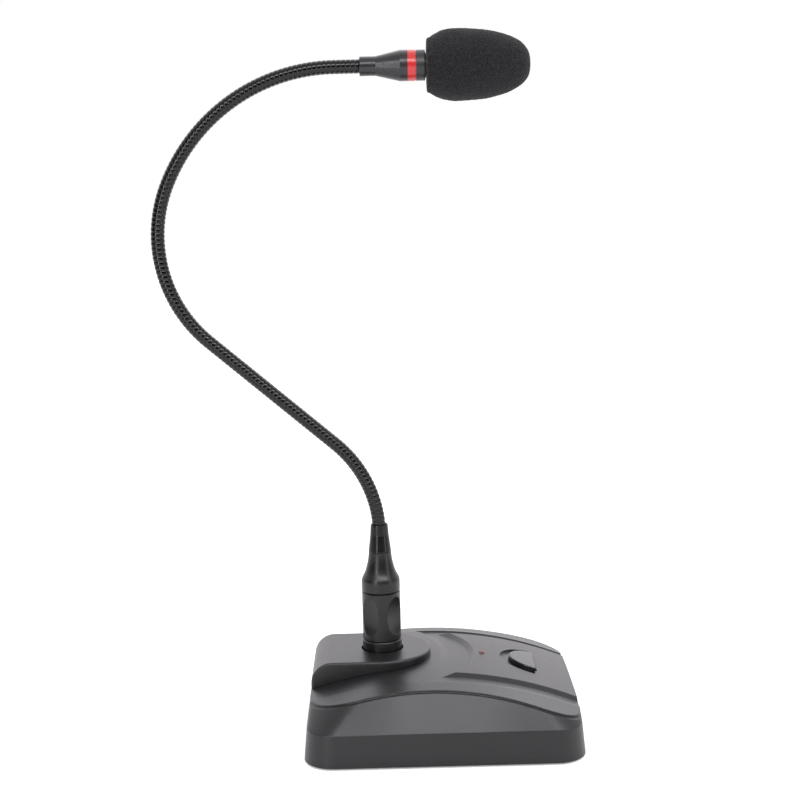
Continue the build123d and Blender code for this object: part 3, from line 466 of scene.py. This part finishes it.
def rubbery(name, colour, roughness=0.75):
    """Soft rubber or cable jacket: matt, with fine pimples and a dusty bloom."""
    n = Nodes(name)
    bloom = n.noise(RUBBER_BLOOM, detail=5.0)
    base = n.stain(colour, shade(colour, RUBBER_TONE), bloom, window=(0.4, 0.75), most=0.7)
    rough = n.uneven(roughness, bloom, window=(0.3, 0.8), smoother=0.08, rougher=0.12)
    normal = n.bump(n.noise(RUBBER_PIMPLES, detail=2.0), RUBBER_DEPTH, strength=0.5)
    n.fill(n.shader, Base_Color=base, Roughness=rough, Normal=normal)
    return n.material


def open_foam(name, colour):
    """Open-cell foam: painted shade in the pits and painted light on the strands between them, all over, with
    a dusty sheen.
    """
    n = Nodes(name)
    pit_shade, strand_light, clump = shades(colour, CELL_SHADE_AND_TONES)
    pits = n.cells(CELL_PITS)
    fine = n.cells(CELL_FINE)
    height = n.maths("ADD", pits, n.product(fine, CELL_FINE_SHARE))
    # Darker where the cells' bump is low and paler where it is high: painted shade and painted light, not the
    # foam's own colour
    base = n.stain(pit_shade, strand_light, height, window=(0.45, 0.95))
    base = n.stain(base, clump, n.noise(CELL_CLUMPS), window=(0.4, 0.7), most=0.3)
    pitted = n.bump(pits, CELL_PIT_DEPTH, strength=0.9)
    normal = n.bump(fine, CELL_FINE_DEPTH, strength=0.8, normal=pitted)
    n.fill(n.shader, Base_Color=base, Roughness=0.95, Normal=normal, Specular_IOR_Level=0.25)
    n.fill(n.shader, Sheen_Weight=0.05, Sheen_Roughness=0.6)
    return n.material


def red_lens(name, colour, glow, roughness=0.22):
    """Translucent red plastic: slightly cloudy, with a thin gloss coat and an even glow of that strength."""
    n = Nodes(name)
    base = n.stain(*shades(colour, LENS_TONES), n.noise(LENS_CLOUDS), window=(0.3, 0.7))
    rough = n.uneven(roughness, n.noise(LENS_GLOSS), window=(0.3, 0.7), smoother=0.05, rougher=0.08)
    normal = n.bump(n.noise(LENS_RIPPLES), LENS_DEPTH, strength=0.5)
    n.fill(n.shader, Base_Color=base, Roughness=rough, Normal=normal)
    n.fill(n.shader, Emission_Color=LENS_GLOW, Emission_Strength=glow)
    n.fill(n.shader, Subsurface_Weight=0.25, Subsurface_Scale=LENS_SCATTER * MM)
    n.fill(n.shader, Coat_Weight=0.15, Coat_Roughness=0.15)
    return n.material


def circuit(name, colour):
    """Board laminate: solder mask over a faint grid of tracks and round pads."""
    n = Nodes(name)
    brick = n.add("TexBrick", offset=0.35)
    n.fill(brick, Vector=n.coordinates(), Scale=BOARD_TRACKS, Mortar_Size=0.06)
    tracks = brick.outputs["Fac"]
    pads = n.remap(n.cells(BOARD_PADS), window=(0.12, 0.16), to_low=1.0, to_high=0.0)
    base = n.mix(pads, n.mix(tracks, colour, shade(colour, BOARD_TONE)), BOARD_PAD_COLOUR)
    rough = n.remap(n.noise(BOARD_GLOSS), window=(0.3, 0.7), to_low=0.25, to_high=0.4)
    normal = n.bump(tracks, BOARD_DEPTH, strength=0.6)
    n.fill(n.shader, Base_Color=base, Roughness=rough, Normal=normal)
    return n.material


def printed_sleeve(name, colour):
    """A cell's printed sleeve: dark body with a pale end."""
    n = Nodes(name)
    start = cells_low.x + SLEEVE_BAND_SHARE * (cells_high.x - cells_low.x)
    band = n.remap(n.split(n.coordinates())["X"], (start, start + SLEEVE_BAND_BLUR * MM), 0.0, 1.0)
    base = n.mix(band, colour, SLEEVE_BAND_COLOUR)
    rough = n.remap(n.noise(SLEEVE_GLOSS), window=(0.3, 0.7), to_low=0.22, to_high=0.34)
    normal = n.bump(n.noise(SLEEVE_WRINKLES), SLEEVE_DEPTH, strength=0.4)
    n.fill(n.shader, Base_Color=base, Roughness=rough, Normal=normal)
    return n.material


def cast(name, colour):
    """Painted casting: coarse pitted skin, with painted shade in its hollows and painted light on its
    heights.
    """
    n = Nodes(name)
    coarse = n.noise(CAST_PITS, detail=6.0, roughness=0.7)
    # Darker in the bump's hollows and lighter on its heights: painted shade and painted light
    base = n.stain(*shades(colour, CAST_SHADE_TONES), coarse, window=(0.35, 0.7))
    rough = n.remap(coarse, window=(0.3, 0.7), to_low=0.5, to_high=0.75)
    normal = n.bump(coarse, CAST_DEPTH, strength=0.8)
    n.fill(n.shader, Base_Color=base, Roughness=rough, Normal=normal)
    return n.material


RECIPES = {
    "base_plastic": (moulded, {"roughness": 0.36, "edge": 0.7, "ends": FLANK_ENDS}),
    "plate_plastic": (moulded, {"roughness": 0.6, "grain": 0.6, "depth": 0.05}),
    "inner_plastic": (moulded, {"roughness": 0.5}),
    "button_plastic": (moulded, {"roughness": 0.26, "depth": 0.01, "edge": 0.5}),
    "component_black": (moulded, {"roughness": 0.3, "edge": 0.15}),
    "capsule_plastic": (moulded, {"roughness": 0.38, "edge": 0.2}),
    "screw_steel": (bare_metal, {"roughness": 0.34}),
    "contact_nickel": (bare_metal, {"roughness": 0.2}),
    "contact_gold": (bare_metal, {"roughness": 0.22}),
    "grille_steel": (bare_metal, {"roughness": 0.4}),
    "capsule_can": (bare_metal, {"roughness": 0.3}),
    "black_metal": (lacquered, {"roughness": 0.32}),
    "collar_metal": (lacquered, {"roughness": 0.32}),
    "boot_plastic": (lacquered, {"roughness": 0.19, "specular": 0.32}),
    "neck_metal": (lacquered, {"roughness": 0.16, "specular": 0.38, "edge": 0.1}),
    "head_metal": (lacquered, {"roughness": 0.28}),
    "foot_rubber": (rubbery, {}),
    "wire_insulation": (rubbery, {"roughness": 0.55}),
    "foam": (open_foam, {}),
    "ring_red": (red_lens, {"glow": 0.03}),
    "lamp_red": (red_lens, {"glow": 0.0, "roughness": 0.3}),
    "board_laminate": (circuit, {}),
    "cell_wrap": (printed_sleeve, {}),
    "ballast_iron": (cast, {}),
}


def make_materials():
    """One material for each of the record's slots."""
    colours = {entry["slot"]: entry["base_color"][:3] for entry in frame["record"]["materials"]}
    made = {}
    for slot, (make, settings) in RECIPES.items():
        colour = shade(colours[slot], DARKER_SLOTS.get(slot, 1.0))
        made[slot] = make(slot, colour, **settings)
    return made


materials = make_materials()


def dress_cad_nodes():
    """Every CAD node gets the material of its slot."""
    for part in frame["record"]["subparts"]:
        mesh = frame["nodes"][part["node"]].data
        mesh.materials.clear()
        mesh.materials.append(materials[part["material_slot"]])


dress_cad_nodes()


# ---------------------------------------------------------------- meshes

def new_piece(name, points, faces, slot):
    """A smooth-shaded mesh object in the row frame, with its slot's material."""
    mesh = bpy.data.meshes.new(name)
    mesh.from_pydata([tuple(p) for p in points], [], faces)
    mesh.polygons.foreach_set("use_smooth", [True] * len(mesh.polygons))
    mesh.materials.append(materials[slot])
    mesh.update()
    piece = bpy.data.objects.new(name, mesh)
    bpy.context.scene.collection.objects.link(piece)
    return piece


def round_angles(sides):
    """The angles of that many evenly spaced points round a circle."""
    return [2 * math.pi * side / sides for side in range(sides)]


def ring_faces(rings, sides):
    """Quads between consecutive rings of points. Both ends stay open."""
    faces = []
    for ring in range(rings - 1):
        for side in range(sides):
            after = (side + 1) % sides
            a, b = ring * sides + side, ring * sides + after
            faces.append((a, b, b + sides, a + sides))
    return faces


def closed_ring_faces(rings, sides):
    """The same quads, with one many-sided face over each end."""
    last = (rings - 1) * sides
    return ring_faces(rings, sides) + [tuple(range(sides - 1, -1, -1)), tuple(range(last, last + sides))]


def neck_point(s):
    """Point and heading (radians from +X) of the neck's centreline at arc length s, in metres."""
    low, high = boot_box
    x, z = (low.x + high.x) / 2, high.z - NECK_IN_BOOT * MM
    heading = math.pi / 2
    if s < 0:
        return x, z + s, heading
    for index, (length, turn) in enumerate(NECK_ARCS):
        length *= MM
        step = s if index == len(NECK_ARCS) - 1 else min(s, length)
        bend = math.radians(turn) * step / length
        chord = step if bend == 0 else 2 * math.sin(bend / 2) * step / bend
        x += chord * math.cos(heading + bend / 2)
        z += chord * math.sin(heading + bend / 2)
        heading += bend
        s -= step
        if s <= 0:
            break
    return x, z, heading


def neck_length():
    return sum(length for length, turn in NECK_ARCS) * MM


def winding_radius(s, angle):
    """Radius of the spiral-wound tube: flat-topped ridges, with rounded shoulders, that climb round it."""
    phase = (s / (NECK_TURN_PITCH * MM) - angle / (2 * math.pi)) % 1.0
    across = abs(2 * phase - 1)
    return (NECK_RADIUS - NECK_GROOVE * across ** NECK_FLATNESS) * MM


def neck_ring(s):
    """The ring of points round the neck at arc length s."""
    x, z, heading = neck_point(s)
    ring = []
    for angle in round_angles(NECK_SIDES):
        radius = winding_radius(s, angle)
        out = radius * math.cos(angle)
        ring.append((x - out * math.sin(heading), radius * math.sin(angle), z + out * math.cos(heading)))
    return ring


def neck_piece(name, start, end, nodes):
    """One stretch of the neck."""
    count = max(2, round((end - start) / (NECK_TURN_PITCH * MM / NECK_STEPS)))
    points = []
    for ring in range(count + 1):
        points += neck_ring(start + (end - start) * ring / count)
    piece = new_piece(name, points, ring_faces(count + 1, NECK_SIDES), "neck_metal")
    margin = NECK_HINGE_MARGIN * MM
    x0, z0, _ = neck_point(start + margin)
    x1, z1, _ = neck_point(end - margin)
    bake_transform(piece)
    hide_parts(*nodes)


def make_neck():
    """Eight stretches in place of the CAD's neck sections. The first starts in the boot and the last ends in
    the head.
    """
    free_start = NECK_IN_BOOT * MM
    free_end = neck_length() - NECK_IN_HEAD * MM
    spacing = (free_end - free_start) / NECK_HINGES
    seams = [free_start + spacing * index for index in range(1, NECK_HINGES)]
    starts = [free_start - NECK_FOOT * MM] + seams
    ends = seams + [free_end + NECK_TAIL * MM]
    nodes = [[f"gooseneck_section_{index}"] for index in range(NECK_HINGES)]
    nodes[-1].append(f"gooseneck_section_{NECK_HINGES}")
    for index, (start, end) in enumerate(zip(starts, ends)):
        neck_piece(f"gooseneck_winding_{index + 1}", start, end, nodes[index])


def head_frame():
    """(point on the head's axis at the foam's back face, direction of the axis, its upward normal)."""
    x, z, heading = neck_point(neck_length())
    along = Vector((math.cos(heading), 0, math.sin(heading)))
    normal = Vector((-math.sin(heading), 0, math.cos(heading)))
    start = Vector((x, 0, z))
    back = foam_box[0].x - start.x
    return start + along * (back / along.x), along, normal


def foam_profile():
    """(distance from the back face, radius) all the way from the bore's bottom over the skin to the tip."""
    profile = []
    for i in range(FOAM_BORE_RINGS):
        profile.append((FOAM_BORE_DEPTH * (1 - i / FOAM_BORE_RINGS), FOAM_BORE))
    for i in range(FOAM_FACE_RINGS):
        share = i / FOAM_FACE_RINGS
        profile.append((0.0, FOAM_BORE + (FOAM_BACK_RADIUS - FOAM_LIP - FOAM_BORE) * share))
    for i in range(FOAM_LIP_RINGS):
        angle = math.pi / 2 * i / FOAM_LIP_RINGS
        u = FOAM_LIP * (1 - math.cos(angle))
        profile.append((u, FOAM_BACK_RADIUS - FOAM_LIP + FOAM_LIP * math.sin(angle)))
    for i in range(FOAM_SIDE_RINGS + 1):
        share = i / FOAM_SIDE_RINGS
        rise = 1 - (1 - share) ** FOAM_SHOULDER_POWER
        u = FOAM_LIP + (FOAM_WIDEST - FOAM_LIP) * share
        profile.append((u, FOAM_BACK_RADIUS + (FOAM_RADIUS - FOAM_BACK_RADIUS) * rise))
    for i in range(1, FOAM_TIP_RINGS + 1):
        angle = math.pi / 2 * (i / FOAM_TIP_RINGS)
        u = FOAM_WIDEST + (FOAM_LENGTH - FOAM_WIDEST) * math.sin(angle)
        profile.append((u, FOAM_RADIUS * max(0.0, math.cos(angle)) ** FOAM_TIP_POWER))
    return profile


def foam_height(place):
    """How far the foam's skin stands out at a place, from its open cells and a slow swell, in metres."""
    grain = noise.noise(place * FOAM_GRAIN_SCALE) + FOAM_FINE_SHARE * noise.noise(place * FOAM_FINE_SCALE)
    swell = noise.noise(place * FOAM_SWELL_SCALE)
    return (grain * FOAM_GRAIN + swell * FOAM_SWELL) * MM


def make_foam():
    """The foam ball: a closed skin of revolution with a blind bore, roughened by its open cells."""
    origin, along, normal = head_frame()
    side_way = along.cross(normal)
    profile = foam_profile()
    points = []
    for u, radius in profile:
        for angle in round_angles(FOAM_SIDES):
            out = normal * math.cos(angle) + side_way * math.sin(angle)
            place = origin + along * (u * MM) + out * (radius * MM)
            away = out if radius > FOAM_BORE else -out
            points.append(place + away * foam_height(place))
    foam = new_piece("foam_skin", points, closed_ring_faces(len(profile), FOAM_SIDES), "foam")
    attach(foam, "windscreen")
    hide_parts("foam_windscreen")


def make_spring():
    """The button's return spring, as a coil."""
    low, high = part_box("button_spring")
    middle = (low + high) / 2
    wire = SPRING_WIRE * MM
    radius = (high.x - low.x) / 2 - wire
    bottom, top = low.z + wire, high.z - wire
    steps = SPRING_TURNS * SPRING_STEPS
    points = []
    for step in range(steps + 1):
        turn = 2 * math.pi * step / SPRING_STEPS
        rise = bottom + (top - bottom) * step / steps
        for angle in round_angles(SPRING_SIDES):
            out = radius + wire * math.cos(angle)
            x, y = middle.x + out * math.cos(turn), middle.y + out * math.sin(turn)
            points.append((x, y, rise + wire * math.sin(angle)))
    faces = closed_ring_faces(steps + 1, SPRING_SIDES)
    spring = new_piece("button_spring_coil", points, faces, "contact_nickel")
    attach(spring, "base")
    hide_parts("button_spring")
    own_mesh(spring)


make_neck()
make_foam()
make_spring()


# ---------------------------------------------------------------- stage and light

def add_floor():
    """A pale floor, with a glow for the camera only, so that it looks as white as the tent round it."""
    mesh = bpy.data.meshes.new("floor")
    corners = [(x * FLOOR_REACH, y * FLOOR_REACH, 0) for x, y in ((-1, -1), (1, -1), (1, 1), (-1, 1))]
    mesh.from_pydata(corners, [], [(0, 1, 2, 3)])
    floor = bpy.data.objects.new("floor", mesh)
    bpy.context.scene.collection.objects.link(floor)
    n = Nodes("floor")
    n.fill(n.shader, Base_Color=(FLOOR_GREY, FLOOR_GREY, FLOOR_GREY, 1.0), Roughness=0.9)
    glow = n.product(n.add("LightPath").outputs["Is Camera Ray"], FLOOR_GLOW)
    n.fill(n.shader, Specular_IOR_Level=0.1, Emission_Color=WHITE, Emission_Strength=glow)
    mesh.materials.append(n.material)


class WorldNodes(Nodes):
    """The same short calls for the world's node tree, which starts empty."""

    def __init__(self, name):
        world = bpy.data.worlds.new(name)
        bpy.context.scene.world = world
        world.use_nodes = True
        self.tree = world.node_tree
        self.tree.nodes.clear()

    def background(self, colour, strength):
        node = self.add("Background")
        self.fill(node, Color=colour, Strength=strength)
        return node.outputs[0]


def add_world():
    """A light tent: bright behind and above, dark on the camera's side, plain white to look at."""
    n = WorldNodes("studio")
    direction = n.split(n.add("TexCoord").outputs["Generated"])
    behind = n.remap(direction["Y"], TENT_DEPTH_WINDOW, TENT_FRONT, TENT_BACK)
    high = n.remap(direction["Z"], TENT_HEIGHT_WINDOW, 0.0, TENT_HIGH)
    tent = n.background((*TENT_TINT, 1.0), n.maths("ADD", behind, high))
    choice = n.add("MixShader")
    n.put(n.add("LightPath").outputs["Is Camera Ray"], choice.inputs[0])
    n.put(tent, choice.inputs[1])
    n.put(n.background(WHITE, 1.0), choice.inputs[2])
    n.put(choice.outputs[0], n.add("OutputWorld").inputs["Surface"])


def add_area(name, place, width, height, power):
    data = bpy.data.lights.new(name, "AREA")
    data.shape = "RECTANGLE"
    data.size, data.size_y = width, height
    data.energy = power
    data.color = TENT_TINT
    lamp = bpy.data.objects.new(name, data)
    bpy.context.scene.collection.objects.link(lamp)
    lamp.location = place
    lamp.rotation_mode = "QUATERNION"
    lamp.rotation_quaternion = (Vector(LIGHT_TARGET) - Vector(place)).to_track_quat("-Z", "Y")


def add_lights():
    for name, settings in SOFTBOXES.items():
        add_area(name, *settings)


add_floor()
add_world()
add_lights()
bpy.context.scene.view_settings.view_transform = "Standard"
